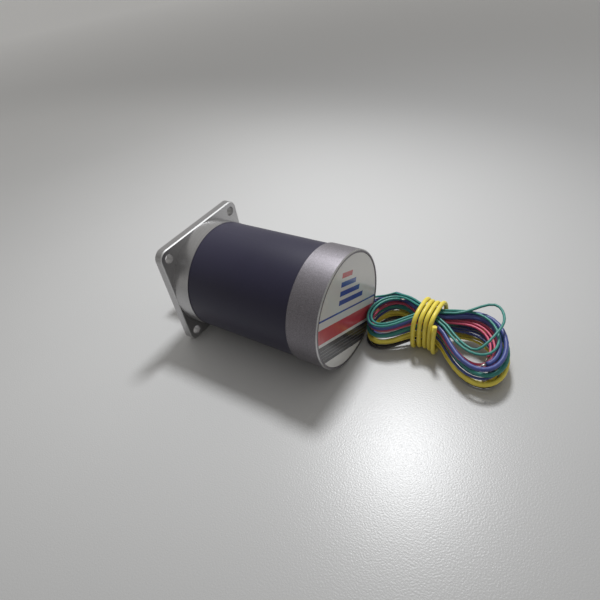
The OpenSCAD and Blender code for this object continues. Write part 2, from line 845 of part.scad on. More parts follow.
// Free stretch of a lead, from the grommet's face to its hank
function grommet_side() = [0, -cos(grommet_drop), -sin(grommet_drop)];
function grommet_top() = [0, -sin(grommet_drop), cos(grommet_drop)];
function lead_exit(i) = [lead_exits[i][0] - grommet_at, 0, 0]
    + grommet_side() * grommet_face_r + grommet_top() * lead_exits[i][1];
function smooth_point(a, b, c, d, t) = (
    2 * b + (c - a) * t + (2 * a - 5 * b + 4 * c - d) * t * t + (3 * b - a - 3 * c + d) * t * t * t
) / 2;
function smooth_path(points, steps) = let(last = len(points) - 1) concat(
    [
        for (k = [0 : last - 1], j = [0 : steps - 1]) smooth_point(
            k > 0 ? points[k - 1] : 2 * points[0] - points[1],
            points[k],
            points[k + 1],
            k + 2 > last ? 2 * points[last] - points[last - 1] : points[k + 2],
            j / steps
        )
    ],
    [points[last]]
);
function lead_path(i) = let(
        join = hank_path(i), ahead = unit(join[1] - join[0]), exit = lead_exit(i)
    ) concat(
        [exit],
        smooth_path(
            concat([exit + grommet_side() * lead_out_l], lead_bends[i], [join[0] - ahead * lead_in_l]),
            lead_bend_rings[i]
        ),
        [join[0]]
    );

// Tie: turns of lead round the waist, with a straight tail at each end
function rounded_off(c) = (c < 0 ? -1 : 1) * pow(abs(c), 2 / tie_square);
function tie_place(turn) = let(
        a = tie_start + 360 * turn, along = (turn - tie_turns / 2) * (tie_d + tie_gap)
    ) [
    hank_x - along,
    hank_y + (tie_half_y + along * along / tie_flare_l) * rounded_off(cos(a)),
    floor_z + floor_gap + tie_d / 2 + tie_half_z * (1 + rounded_off(sin(a)))
];
function tie_path() = let(
        n = round(tie_turns * loop_rings),
        points = [for (k = [0 : n]) tie_place(k / loop_rings)],
        start = unit(points[0] - points[1]),
        end = unit(points[n] - points[n - 1])
    ) concat([points[0] + start * tie_tail_l], points, [points[n] + end * tie_tail_l]);

// Least gap between turns, measured on points that are at least a third of a turn apart
function least_gap(points, d) = min([
    for (a = [0 : len(points) - 1], b = [a + loop_rings / 3 : len(points) - 1])
        norm(points[a] - points[b]) - d
]);
for (i = [0 : lead_n - 1]) {
    echo(str(lead_names[i], " hank, least gap to itself: "), least_gap(hank_path(i), lead_d[i]));
}
echo("hank tie, least gap to itself: ", least_gap(tie_path(), tie_d));

module lead(i) {
    color(lead_colors[i]) swept(lead_path(i), lead_d[i] / 2, lead_sides, [0, 1, 0]);
}

module hank(i) {
    color(lead_colors[i]) swept(hank_path(i), lead_d[i] / 2, loop_sides, [0, 0, 1]);
}

module hank_tie() {
    color("#dccb1f") swept(tie_path(), tie_d / 2, loop_sides, [1, 0, 0]);
}

front_cover();
housing_tube();
rear_cover();
rear_label();
tie_screws();
stator_core();
front_insulator();
rear_insulator();
slot_wedges();
winding(0);  // winding_u
winding(1);  // winding_v
winding(2);  // winding_w
hall_board();
hall_sensors();
board_chips();
board_screws();
wave_spring();
lead_grommet();
outer_race(front_bearing_at);  // front_outer_race
shields(front_bearing_at);  // front_shields
outer_race(rear_bearing_at);  // rear_outer_race
shields(rear_bearing_at);  // rear_shields
shaft();
rotor_core();
rotor_magnets();
rotor_sleeve();
rotor_end_rings();
inner_race(front_bearing_at);  // front_inner_race
inner_race(rear_bearing_at);  // rear_inner_race
balls(front_bearing_at);  // front_balls
cage(front_bearing_at);  // front_cage
balls(rear_bearing_at);  // rear_balls
cage(rear_bearing_at);  // rear_cage
hank_tie();
for (i = [0 : lead_n - 1]) {
    lead(i);
    hank(i);
}
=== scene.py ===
import json
import math

import bpy
from mathutils import Matrix, Vector


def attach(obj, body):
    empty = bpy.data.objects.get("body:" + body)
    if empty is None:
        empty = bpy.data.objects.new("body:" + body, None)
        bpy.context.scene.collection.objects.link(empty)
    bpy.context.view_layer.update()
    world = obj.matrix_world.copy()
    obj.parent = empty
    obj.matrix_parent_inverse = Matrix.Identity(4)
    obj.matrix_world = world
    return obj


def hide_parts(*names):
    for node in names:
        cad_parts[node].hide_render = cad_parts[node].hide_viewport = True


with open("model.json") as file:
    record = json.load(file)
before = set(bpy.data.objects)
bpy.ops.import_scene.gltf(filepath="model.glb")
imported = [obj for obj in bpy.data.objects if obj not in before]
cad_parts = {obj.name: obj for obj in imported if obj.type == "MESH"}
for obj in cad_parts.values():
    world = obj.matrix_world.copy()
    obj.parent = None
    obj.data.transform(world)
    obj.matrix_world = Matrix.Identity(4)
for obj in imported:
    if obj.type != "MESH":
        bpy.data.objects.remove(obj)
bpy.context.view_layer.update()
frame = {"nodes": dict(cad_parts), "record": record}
nodes = frame["nodes"]

MM = 0.001
ROOT = "motor_body"
scene = bpy.context.scene
scene.view_settings.view_transform = "Standard"

# Sizes in millimetres, as in the part's source
FLOOR_Z = -28.65
REAR_END = 88.2

# Camera
# Its turn is an axis times an angle. Its offset says where the row frame's origin lies from
# it, in millimetres to the right, down and ahead. Both were fitted to the photograph.
CAMERA_TURN = Vector((0.631998, -2.469975, 1.093826))
CAMERA_OFFSET = Vector((-50.866, -17.216, 262.445))
CAMERA_LENS = 28.7452
SENSOR = 36.0
CLIP_NEAR, CLIP_FAR = 0.01, 50.0


def add_camera():
    data = bpy.data.cameras.new("camera")
    data.sensor_width = SENSOR
    data.lens = CAMERA_LENS
    data.clip_start = CLIP_NEAR
    data.clip_end = CLIP_FAR
    obj = bpy.data.objects.new("camera", data)
    scene.collection.objects.link(obj)
    turn = Matrix.Rotation(CAMERA_TURN.length, 3, CAMERA_TURN.normalized())
    back = turn.transposed()
    place = -(back @ CAMERA_OFFSET) * MM
    axes = back @ Matrix.Diagonal((1.0, -1.0, -1.0))
    obj.matrix_world = Matrix.Translation(place) @ axes.to_4x4()
    scene.camera = obj


add_camera()

# Leads, from the lowest layer of the hank to the highest
# In millimetres and degrees. Down to the tie, the numbers are those of the part's source.
PHASE_D = 2.1
SENSOR_D = 1.2
LEADS = [
    "sensor_black", "sensor_yellow", "phase_yellow", "sensor_blue",
    "phase_green", "sensor_red", "phase_blue", "sensor_green",
]
LEAD_D = [PHASE_D if name.startswith("phase") else SENSOR_D for name in LEADS]
LEAD_GAP = 0.5
FLOOR_GAP = 0.1

# Places of the leads on the grommet's face: along the motor, and up the face
EXITS = [
    (-0.9, -3.6), (0.9, -3.6), (-1.2, -1.5), (1.0, -1.6),
    (-1.2, 1.1), (1.0, 1.1), (-1.2, 3.7), (1.0, 3.7),
]
GROMMET_AT = 79.5
GROMMET_FACE = 29.4
GROMMET_DROP = math.radians(42)
OUT_L = 2.5
IN_L = 3.0

# Bends of each free lead between the grommet and the hank
BENDS = [
    ((-81.6, -27.6, -27.6), (-88.4, -34.4, -27.4)),
    ((-80.7, -29, -26.3), (-88.1, -36, -26.2)),
    ((-83.5, -28.3, -25.9), (-89.8, -34.2, -24.8)),
    ((-81.6, -31.1, -24.9), (-90.5, -37.1, -22.8)),
    ((-83.4, -30.4, -23.6), (-90.3, -34.9, -21.7)),
    ((-82.8, -35, -24), (-91.5, -39.2, -20.2)),
    ((-83.5, -33.4, -22), (-89.2, -36.9, -20.3)),
    ((-80.8, -33.1, -20.5), (-88.8, -35.3, -18.2)),
]

# Hank: where it is tied, and how far the loops of each lead reach from there
HANK_X, HANK_Y, HANK_START = -118.0, -22.5, 238
REACH_OUT = [37, 37, 38.5, 36, 38, 34, 37, 33]
REACH_IN = [31, 31, 30.6, 30.3, 30.5, 30.1, 30.5, 30]
PLUMP_OUT = [1.12, 1.08, 1.25, 1.1, 1.18, 1.14, 1.26, 1.06]
PLUMP_IN = [1.38, 1.33, 1.38, 1.38, 1.38, 1.34, 1.38, 1.34]
SWING = [0, 3, -1, 4, -2, 2, 0, -3]
TURNS = [2.05, 2.4, 1.42, 2.3, 1.4, 2.35, 1.42, 2]
WAIST = [1.9, 2.375, 1.45, 2.375, 1.45, 2.375, 1.45, 1.9]
WAIST_L = 3.2
BOW_OUT, BOW_IN, BOW_L = 0.33, 0.2, 12
TIE_LIFT, TIE_LIFT_L = 4.1, 14
TILT_RISE, TILT_RISE_IN, TILT_Y, TILT_L = 0.12, 0.036, 22, 30
OUTLINE_STEP = 1

# The last loop of the topmost lead strays out of the hank
STRAY_TURN, STRAY_HALF = 1.3, 0.18
STRAY_MOVE = Vector((-1, -9.5, 0))
STRAY_LIFT = Vector((0, 0, 4.3))

# Tie: a phase lead wound round the hank's waist
TIE_D = PHASE_D
TIE_GAP = 0.45
TIE_TURNS = 4.5
TIE_HALF_Y, TIE_HALF_Z, TIE_SQUARE, TIE_FLARE_L = 8.1, 10.75, 3.2, 11
TIE_START = 200
TIE_TAIL = 4

# Steps of the routes, and the bare tips, which only the scene has
LOOP_POINTS = 48
BEND_POINTS = 6
TUBE_SIDES = 16
TIP_L = 2.5
TIP_SHARE = 0.55


def layer_height(i):
    return FLOOR_GAP + sum(d + LEAD_GAP for d in LEAD_D[:i]) + LEAD_D[i] / 2


def loop_outline(i, degrees):
    """Flat outline of a lead's outer loop: an oval drawn in at the tie, and bowed about it."""
    a = math.radians(degrees)
    out = math.cos(a) > 0
    reach = (REACH_OUT if out else REACH_IN)[i] - WAIST_L
    plump = (PLUMP_OUT if out else PLUMP_IN)[i]
    waist = WAIST[i] * (LEAD_D[i] + LEAD_GAP) / plump
    u = reach * math.cos(a)
    far = (reach**2 + waist**2) / 2
    near = (reach**2 - waist**2) / 2
    v = plump * math.sqrt(max(0, math.sqrt(far**2 + 4 * near * u * u) - u * u - near))
    u += WAIST_L * u / math.hypot(u, WAIST_L)
    v = -v if math.sin(a) < 0 else v
    s = math.radians(SWING[i])
    u, v = u * math.cos(s) - v * math.sin(s), u * math.sin(s) + v * math.cos(s)
    return u, v + (BOW_OUT if u > 0 else BOW_IN) * (math.hypot(u, BOW_L) - BOW_L)


def loop_place(i, turn):
    """Place of a lead after some turns: the outline, drawn in by a step each turn."""
    a = HANK_START + 360 * turn
    u, v = loop_outline(i, a)
    u1, v1 = loop_outline(i, a + OUTLINE_STEP)
    u0, v0 = loop_outline(i, a - OUTLINE_STEP)
    ahead = Vector((u1 - u0, v1 - v0)).normalized()
    inward = (LEAD_D[i] + LEAD_GAP) * turn
    return u - ahead.y * inward, v + ahead.x * inward


def eased(t):
    return t * t * (3 - 2 * t)


def laid(i, u, v):
    """The outline's place in the hank, lifted in the tie and tilted away from it."""
    tilt = (TILT_RISE if u > 0 else TILT_RISE_IN) * (TILT_Y - v)
    rise = tilt * eased(min(1, abs(u) / TILT_L))
    lift = TIE_LIFT * math.exp(-((u / TIE_LIFT_L) ** 2))
    return Vector((HANK_X - u, HANK_Y + v, FLOOR_Z + layer_height(i) + lift + rise))


def strayed(i, turn):
    """How far the last loop of the topmost lead strays out of the hank."""
    if i < len(LEADS) - 1:
        return Vector((0, 0, 0))
    stray = eased(max(0, 1 - ((turn - STRAY_TURN) / STRAY_HALF) ** 2))
    return STRAY_MOVE * stray**2 + STRAY_LIFT * stray


def smooth(points, steps):
    """Soft curve through all the points."""
    last = len(points) - 1
    made = []
    for k in range(last):
        b, c = points[k], points[k + 1]
        a = points[k - 1] if k else 2 * b - c
        d = points[k + 2] if k + 2 <= last else 2 * c - b
        for j in range(steps):
            t = j / steps
            square = (2 * a - 5 * b + 4 * c - d) * t * t
            cube = (3 * b - a - 3 * c + d) * t**3
            made.append((2 * b + (c - a) * t + square + cube) / 2)
    return made + [points[last]]


def lead_route(i):
    """The whole lead: out of the grommet, down to the hank and round its loops."""
    turns = [k / LOOP_POINTS for k in range(round(TURNS[i] * LOOP_POINTS) + 1)]
    loops = [laid(i, *loop_place(i, turn)) + strayed(i, turn) for turn in turns]
    ahead = (loops[1] - loops[0]).normalized()
    join = loops[0] - ahead * LEAD_D[i]
    side = Vector((0, -math.cos(GROMMET_DROP), -math.sin(GROMMET_DROP)))
    top = Vector((0, -math.sin(GROMMET_DROP), math.cos(GROMMET_DROP)))
    start = Vector((EXITS[i][0] - GROMMET_AT, 0, 0)) + side * GROMMET_FACE + top * EXITS[i][1]
    middle = [start + side * OUT_L, *(Vector(p) for p in BENDS[i]), join - ahead * IN_L]
    return [start] + smooth(middle, BEND_POINTS) + [join] + loops


def tie_route():
    """Turns of a rounded square about the hank, with a short tail at each end."""

    def rounded(c):
        return math.copysign(abs(c) ** (2 / TIE_SQUARE), c)

    made = []
    for k in range(round(TIE_TURNS * LOOP_POINTS) + 1):
        turn = k / LOOP_POINTS
        a = math.radians(TIE_START + 360 * turn)
        along = (turn - TIE_TURNS / 2) * (TIE_D + TIE_GAP)
        half_y = TIE_HALF_Y + along * along / TIE_FLARE_L
        z = FLOOR_Z + FLOOR_GAP + TIE_D / 2 + TIE_HALF_Z * (1 + rounded(math.sin(a)))
        made.append(Vector((HANK_X - along, HANK_Y + half_y * rounded(math.cos(a)), z)))
    start = (made[0] - made[1]).normalized() * TIE_TAIL
    end = (made[-1] - made[-2]).normalized() * TIE_TAIL
    return [made[0] + start] + made + [made[-1] + end]


def tube(name, points, diameter):
    """Round tube along the points, with a flat end at each side."""
    last = len(points) - 1
    corners = []
    side = None
    for k, point in enumerate(points):
        ahead = (points[min(k + 1, last)] - points[max(k - 1, 0)]).normalized()
        side = ahead.orthogonal() if side is None else side - ahead * side.dot(ahead)
        side.normalize()
        other = ahead.cross(side)
        for j in range(TUBE_SIDES):
            a = 2 * math.pi * j / TUBE_SIDES
            out = side * math.cos(a) + other * math.sin(a)
            corners.append((point + out * diameter / 2) * MM)
    walls = []
    for k in range(last):
        for j in range(TUBE_SIDES):
            a, b = k * TUBE_SIDES + j, k * TUBE_SIDES + (j + 1) % TUBE_SIDES
            walls.append((a, b, b + TUBE_SIDES, a + TUBE_SIDES))
    ends = [tuple(reversed(range(TUBE_SIDES))), tuple(range(last * TUBE_SIDES, len(corners)))]
    mesh = bpy.data.meshes.new(name)
    mesh.from_pydata(corners, [], walls + ends)
    for face in mesh.polygons[: len(walls)]:
        face.use_smooth = True
    obj = bpy.data.objects.new(name, mesh)
    scene.collection.objects.link(obj)
    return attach(obj, ROOT)


cords = {}
tips = {}
for i, name in enumerate(LEADS):
    route = lead_route(i)
    wire = tube(name + "_wire", route, LEAD_D[i])
    ahead = (route[-1] - route[-2]).normalized()
    tip = tube(name + "_tip", [route[-1], route[-1] + ahead * TIP_L], LEAD_D[i] * TIP_SHARE)
    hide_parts(name + "_lead", name + "_hank")
    cords[name] = wire
    tips[name] = tip

route = tie_route()
tie = tube("hank_tie_wire", route, TIE_D)
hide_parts("hank_tie")


class Graph:
    """Builds the nodes of one material, or of the world."""

    def __init__(self, owner, shader):
        self.owner = owner
        owner.use_nodes = True
        self.tree = owner.node_tree
        self.shader = self.tree.nodes[shader]

    def put(self, socket, value):
        if isinstance(value, bpy.types.NodeSocket):
            self.tree.links.new(value, socket)
        else:
            socket.default_value = value

    def node(self, kind, **settings):
        made = self.tree.nodes.new(kind)
        for key, value in settings.items():
            setattr(made, key, value)
        return made

    def math(self, operation, a, b=0.0):
        made = self.node("ShaderNodeMath", operation=operation)
        self.put(made.inputs[0], a)
        self.put(made.inputs[1], b)
        return made.outputs[0]

    def coordinate(self, name):
        return self.node("ShaderNodeTexCoord").outputs[name]

    def apart(self, vector):
        made = self.node("ShaderNodeSeparateXYZ")
        self.put(made.inputs[0], vector)
        return made.outputs

    def place(self):
        """x, y and z of the row frame, in millimetres."""
        return [self.math("MULTIPLY", s, 1 / MM) for s in self.apart(self.coordinate("Object"))]

    def join(self, x, y, z):
        made = self.node("ShaderNodeCombineXYZ")
        for socket, value in zip(made.inputs, (x, y, z)):
            self.put(socket, value)
        return made.outputs[0]

    def radius(self, y, z):
        squares = [self.math("MULTIPLY", side, side) for side in (y, z)]
        return self.math("SQRT", self.math("ADD", *squares))

    def noise(self, vector, scale, detail=3.0, rough=0.5):
        made = self.node("ShaderNodeTexNoise")
        self.put(made.inputs["Vector"], vector)
        made.inputs["Scale"].default_value = scale
        made.inputs["Detail"].default_value = detail
        made.inputs["Roughness"].default_value = rough
        return made.outputs["Fac"]

    def lathe_lines(self, x, y, z, fineness, detail):
        """Noise drawn out round the motor's axis, on the sides and on the faces."""
        along = self.math("MULTIPLY", x, fineness)
        outward = self.math("MULTIPLY", self.radius(y, z), fineness)
        around = self.math("ARCTAN2", z, y)
        return self.noise(self.join(along, outward, around), scale=1.0, detail=detail)

    def span(self, value, low, high, between=(0.0, 1.0), kind="LINEAR"):
        """From low to high while the value goes between two others."""
        made = self.node("ShaderNodeMapRange", interpolation_type=kind)
        self.put(made.inputs["Value"], value)
        made.inputs["From Min"].default_value = between[0]
        made.inputs["From Max"].default_value = between[1]
        made.inputs["To Min"].default_value = low
        made.inputs["To Max"].default_value = high
        return made.outputs[0]

    def mix(self, share, a, b):
        made = self.node("ShaderNodeMix", data_type="RGBA")
        self.put(made.inputs[0], share)
        self.put(made.inputs[6], a if isinstance(a, bpy.types.NodeSocket) else (*a, 1.0))
        self.put(made.inputs[7], b if isinstance(b, bpy.types.NodeSocket) else (*b, 1.0))
        return made.outputs[2]

    def inside(self, value, low, high):
        above = self.math("GREATER_THAN", value, low)
        below = self.math("LESS_THAN", value, high)
        return self.math("MULTIPLY", above, below)

    def bump(self, height, distance, strength):
        made = self.node("ShaderNodeBump")
        self.put(made.inputs["Strength"], strength)
        made.inputs["Distance"].default_value = distance
        self.put(made.inputs["Height"], height)
        self.put(self.shader.inputs["Normal"], made.outputs[0])

    def finish(self, colour, rough, **numbers):
        self.put(self.shader.inputs["Base Color"], colour)
        self.put(self.shader.inputs["Roughness"], rough)
        for key, value in numbers.items():
            self.shader.inputs[key.replace("_", " ")].default_value = value
        return self.owner


def material_graph(name):
    return Graph(bpy.data.materials.new(name), "Principled BSDF")


def grey(level):
    return (level, level, level)


def scaled(colour, factor):
    return tuple(min(1.0, c * factor) for c in colour)


# Materials
# Places are in millimetres of the row frame, and a bump's distance is in metres.
# The covers' chamfers, given a brighter colour that is partly bare machined metal and partly a
# painted highlight, are told by the tilt of their faces, and by how near they are to the
# mounting face or to the rear end.
COVERS_PART = (-70.0, -60.0)
CHAMFER_TILT = (0.5, 0.9)
CHAMFERS_FRONT, CHAMFERS_REAR = 6.0, 3.0


def cast_cover(name):
    """Sand-like satin skin on the rear cover, a smoother one in front, and cut chamfers made brighter,
    partly as machined metal and partly as a painted highlight.
    """
    front_dark, front_pale, front_cloud = (0.36, 0.355, 0.36), (0.58, 0.575, 0.58), grey(0.40)
    rear_dark, rear_pale = (0.160, 0.150, 0.163), (0.315, 0.298, 0.322)
    front_chamfer_and_highlight, rear_chamfer_and_highlight = grey(0.66), grey(0.55)
    g = material_graph(name)
    x, y, z = g.place()
    where = g.join(x, y, z)
    rear = g.span(x, 1.0, 0.0, between=COVERS_PART)

    sand = g.noise(where, scale=3.0, detail=4.0, rough=0.7)
    lines = g.lathe_lines(x, y, z, fineness=5.0, detail=3.0)
    lined = g.math("MULTIPLY", g.span(rear, 0.4, 0.12), g.math("SUBTRACT", lines, sand))
    skin = g.math("ADD", sand, lined)
    cloud = g.noise(where, scale=0.07)
    front = g.mix(g.span(skin, 0.0, 1.0, between=(0.34, 0.66)), front_dark, front_pale)
    front = g.mix(g.span(cloud, 0.0, 0.35), front, front_cloud)
    back = g.mix(g.span(skin, 0.0, 1.0, between=(0.36, 0.64)), rear_dark, rear_pale)
    shade = g.mix(rear, front, back)

    tilt = g.apart(g.coordinate("Normal"))[0]
    between_ends = g.inside(x, CHAMFERS_REAR - REAR_END, -CHAMFERS_FRONT)
    at_ends = g.math("SUBTRACT", 1.0, between_ends)
    cut = g.math("MULTIPLY", g.inside(g.math("ABSOLUTE", tilt), *CHAMFER_TILT), at_ends)
    # Painted highlight: the chamfers get a brighter colour, partly as bare machined metal and partly
    # standing in for the lamp's glint.
    shade = g.mix(cut, shade, g.mix(rear, front_chamfer_and_highlight, rear_chamfer_and_highlight))

    rough = g.math("ADD", g.math("MULTIPLY", rear, 0.16), g.span(sand, 0.26, 0.42))
    rougher = g.math("MULTIPLY", cut, g.span(rear, 0.4, -0.55))
    rough = g.math("MULTIPLY", rough, g.math("ADD", rougher, 1.0))
    g.bump(skin, distance=0.00006, strength=g.span(rear, 0.2, 0.8))
    return g.finish(shade, rough, Metallic=1.0)


def coated_tube(name):
    """Satin black coating with a faint blue tint and a fine orange peel, and painted light that makes
    it paler near the front.
    """
    coat_dark, coat_pale = (0.011, 0.0095, 0.028), (0.0165, 0.014, 0.040)
    front_painted_light, dust_tint = (0.036, 0.033, 0.060), (0.10, 0.10, 0.13)
    g = material_graph(name)
    x, y, z = g.place()
    where = g.join(x, y, z)
    peel = g.noise(where, scale=1.1)
    dust = g.noise(where, scale=4.0, detail=1.0)
    shade = g.mix(g.noise(where, scale=0.06), coat_dark, coat_pale)
    # Painted light: the coating grows paler towards the front cover.
    shade = g.mix(g.span(x, 0.0, 0.5, between=(-45.0, -8.0)), shade, front_painted_light)
    shade = g.mix(g.span(dust, 0.0, 0.3, between=(0.66, 0.8)), shade, dust_tint)
    g.bump(peel, distance=0.00003, strength=0.35)
    return g.finish(
        shade, g.span(peel, 0.40, 0.52), Specular_IOR_Level=0.4,
        Sheen_Weight=0.03, Sheen_Roughness=0.5,
    )


# Label artwork: bands across the lower half, a line, and stepped bars above
# Each pair says where a form starts and ends, across the bands or along them, in
# millimetres from the motor's axis.
BAND_TURN = Vector((-0.42, 0.91)).normalized()
RED_BAND = (-9.5, -2.5)
INK_BAND = (-20.5, -11.0)
RULED = (-19.3, -12.4)
RULE_STEP, RULE_SHARE = 1.7, 0.14
BLUE_LINE = (1.0, 1.9)
BARS_FROM, BAR_STEP, BAR_T = 4.8, 4.2, 2.4
BAR_START, BAR_ENDS = -11.0, (12.0, 7.5, 3.0, -1.5)


def printed_label(name):
    """Glossy film with slanted bands of red and charcoal, a thin line, and four stepped bars."""
    blue, rule = (0.045, 0.085, 0.34), grey(0.22)
    g = material_graph(name)
    x, y, z = g.place()
    where = g.join(x, y, z)
    paper = g.mix(g.noise(where, scale=0.12), (0.63, 0.625, 0.61), (0.71, 0.70, 0.685))
    ink = g.mix(g.noise(where, scale=0.8, detail=2.0), (0.030, 0.029, 0.035), (0.048, 0.046, 0.052))
    red = g.mix(g.noise(where, scale=0.3, detail=2.0), (0.47, 0.055, 0.070), (0.56, 0.080, 0.090))

    def turned(a, b):
        return g.math("MULTIPLY", a, BAND_TURN.x), g.math("MULTIPLY", b, BAND_TURN.y)

    across = g.math("ADD", *turned(y, z))
    along = g.math("SUBTRACT", *turned(z, y))
    shade = g.mix(g.inside(across, *RED_BAND), paper, red)
    rules = g.inside(g.math("FRACT", g.math("DIVIDE", across, RULE_STEP)), 0.0, RULE_SHARE)
    ink = g.mix(g.math("MULTIPLY", rules, g.inside(across, *RULED)), ink, rule)
    shade = g.mix(g.inside(across, *INK_BAND), shade, ink)
    shade = g.mix(g.inside(across, *BLUE_LINE), shade, blue)
    for k, end in enumerate(BAR_ENDS):
        low = BARS_FROM + k * BAR_STEP
        bar = g.math("MULTIPLY", g.inside(across, low, low + BAR_T), g.inside(along, BAR_START, end))
        shade = g.mix(bar, shade, red if k == len(BAR_ENDS) - 1 else blue)
    g.bump(g.noise(where, scale=0.25, detail=2.0), distance=0.00006, strength=0.35)
    return g.finish(shade, 0.26, Coat_Weight=0.5, Coat_Roughness=0.12)


def wire_sheath(name, colour):
    """Satin PVC, with a slight waviness and slow changes of shade."""
    g = material_graph(name)
    where = g.join(*g.place())
    slow = g.noise(where, scale=0.22)
    fine = g.noise(where, scale=1.6, detail=2.0)
    shade = g.mix(slow, scaled(colour, 0.8), scaled(colour, 1.1))
    g.bump(fine, distance=0.00003, strength=0.3)
    return g.finish(
        shade, g.span(fine, 0.34, 0.46), Specular_IOR_Level=0.42,
        Coat_Weight=0.08, Coat_Roughness=0.25,
    )


def turned_metal(name, colour, rough):
    """Fine lines round the motor's axis, on the sides and on the faces, over a fine speckle."""
    g = material_graph(name)
    x, y, z = g.place()
    where = g.join(x, y, z)
    lines = g.lathe_lines(x, y, z, fineness=9.0, detail=2.0)
    dots = g.noise(where, scale=3.2, detail=2.0, rough=0.7)
    cloud = g.noise(where, scale=0.09, detail=2.0)
    shade = g.mix(g.span(lines, 0.0, 1.0, between=(0.3, 0.7)), scaled(colour, 0.88), colour)
    shade = g.mix(g.span(dots, 0.0, 0.6, between=(0.45, 0.75)), shade, scaled(colour, 1.06))
    even = g.math("ADD", g.span(dots, -0.06, 0.06), g.span(cloud, rough - 0.03, rough + 0.03))
    g.bump(g.math("ADD", lines, dots), distance=0.000012, strength=0.5)
    return g.finish(shade, even, Metallic=1.0)


def plain_metal(name, colour, rough):
    """Even metal with faint changes of shade and gloss."""
    g = material_graph(name)
    fine = g.noise(g.join(*g.place()), scale=2.5)
    shade = g.mix(fine, scaled(colour, 0.9), colour)
    g.bump(fine, distance=0.00001, strength=0.4)
    return g.finish(shade, g.span(fine, rough - 0.06, rough + 0.06), Metallic=1.0)


def laminated_metal(name, colour, sheet_t):
    """Edges of thin sheets stacked along the motor, with a dark joint after each."""
    sheet_share, joint = 0.82, grey(0.1)
    g = material_graph(name)
    x, y, z = g.place()
    sheets = g.math("FRACT", g.math("MULTIPLY", x, 1 / sheet_t))
    edge = g.math("GREATER_THAN", sheets, sheet_share)
    fine = g.noise(g.join(x, y, z), scale=1.4)
    shade = g.mix(edge, g.mix(fine, scaled(colour, 0.85), colour), joint)
    g.bump(g.math("SUBTRACT", fine, edge), distance=0.00004, strength=0.5)
    return g.finish(shade, 0.45, Metallic=1.0)


def plastic(name, colour, rough, grain=1.2, depth=0.00002):
    """Moulded or pressed stuff with slow changes of shade and a fine grain."""
    g = material_graph(name)
    where = g.join(*g.place())
    fine = g.noise(where, scale=grain)
    slow = g.noise(where, scale=0.15, detail=2.0)
    shade = g.mix(slow, scaled(colour, 0.86), colour)
    g.bump(fine, distance=depth, strength=0.4)
    return g.finish(shade, g.span(fine, rough - 0.05, rough + 0.05))


def wound_copper(name, wire_t):
    """Enamelled turns side by side, with painted shade in the grooves between them."""
    groove_shade, crest = (0.30, 0.10, 0.035), (0.62, 0.27, 0.10)
    g = material_graph(name)
    x, y, z = g.place()
    rows = g.math("SINE", g.math("MULTIPLY", g.radius(y, z), 2 * math.pi / wire_t))
    fine = g.noise(g.join(x, y, z), scale=0.5)
    # Painted shade: the grooves between the turns are darker than their crests.
    shade = g.mix(g.span(rows, 0.0, 1.0, between=(-1.0, 1.0)), groove_shade, crest)
    g.bump(g.math("ADD", rows, fine), distance=0.00008, strength=0.6)
    return g.finish(shade, g.span(fine, 0.26, 0.4), Metallic=0.85, Coat_Weight=0.3)


def circuit_board(name):
    """Green laminate with paler patches where the copper lies under the lacquer."""
    bare, coppered = (0.012, 0.10, 0.05), (0.03, 0.19, 0.09)
    g = material_graph(name)
    where = g.join(*g.place())
    paths = g.math("GREATER_THAN", g.noise(where, scale=0.35, detail=1.0), 0.56)
    g.bump(paths, distance=0.00003, strength=0.5)
    return g.finish(g.mix(paths, bare, coppered), 0.32, Coat_Weight=0.2)


# For each slot of the record, the function that makes its material and what that is given
LOOKS = {
    "cover_metal": (cast_cover,),
    "tube_coating": (coated_tube,),
    "label_film": (printed_label,),
    "screw_steel": (plain_metal, grey(0.5), 0.32),
    "lamination_steel": (laminated_metal, (0.36, 0.37, 0.39), 0.5),
    "insulator_plastic": (plastic, (0.78, 0.74, 0.64), 0.45),
    "wedge_paper": (plastic, (0.42, 0.09, 0.06), 0.65, 2.5, 0.00005),
    "coil_copper": (wound_copper, 0.6),
    "board_laminate": (circuit_board,),
    "sensor_plastic": (plastic, grey(0.03), 0.5),
    "chip_ceramic": (plastic, (0.42, 0.34, 0.22), 0.5),
    "spring_steel": (plain_metal, (0.6, 0.62, 0.65), 0.25),
    "grommet_rubber": (plastic, grey(0.022), 0.62, 2.0, 0.00004),
    "bearing_steel": (plain_metal, (0.7, 0.71, 0.73), 0.16),
    "shield_steel": (plain_metal, (0.6, 0.61, 0.63), 0.28),
    "cage_brass": (plain_metal, (0.66, 0.47, 0.2), 0.3),
    "shaft_steel": (turned_metal, (0.62, 0.63, 0.65), 0.26),
    "magnet_nickel": (plain_metal, (0.42, 0.42, 0.44), 0.35),
    "sleeve_steel": (turned_metal, (0.55, 0.56, 0.58), 0.3),
    "end_ring_brass": (turned_metal, (0.68, 0.5, 0.22), 0.32),
    "lead_black": (wire_sheath, (0.040, 0.038, 0.046)),
    "lead_yellow": (wire_sheath, (0.82, 0.68, 0.09)),
    "lead_blue": (wire_sheath, (0.058, 0.080, 0.27)),
    "lead_green": (wire_sheath, (0.035, 0.235, 0.20)),
    "lead_red": (wire_sheath, (0.60, 0.080, 0.155)),
}
MATERIALS = {slot: make(slot, *given) for slot, (make, *given) in LOOKS.items()}
TINNED = plain_metal("tinned_copper", (0.66, 0.62, 0.56), 0.38)

for part in frame["record"]["subparts"]:
    node = nodes[part["node"]]
    node.data.materials.clear()
    node.data.materials.append(MATERIALS[part["material_slot"]])

for name, wire in cords.items():
    slot = "lead_" + name.split("_")[1]
    wire.data.materials.append(MATERIALS[slot])
    tips[name].data.materials.append(TINNED)
tie.data.materials.append(MATERIALS["lead_yellow"])


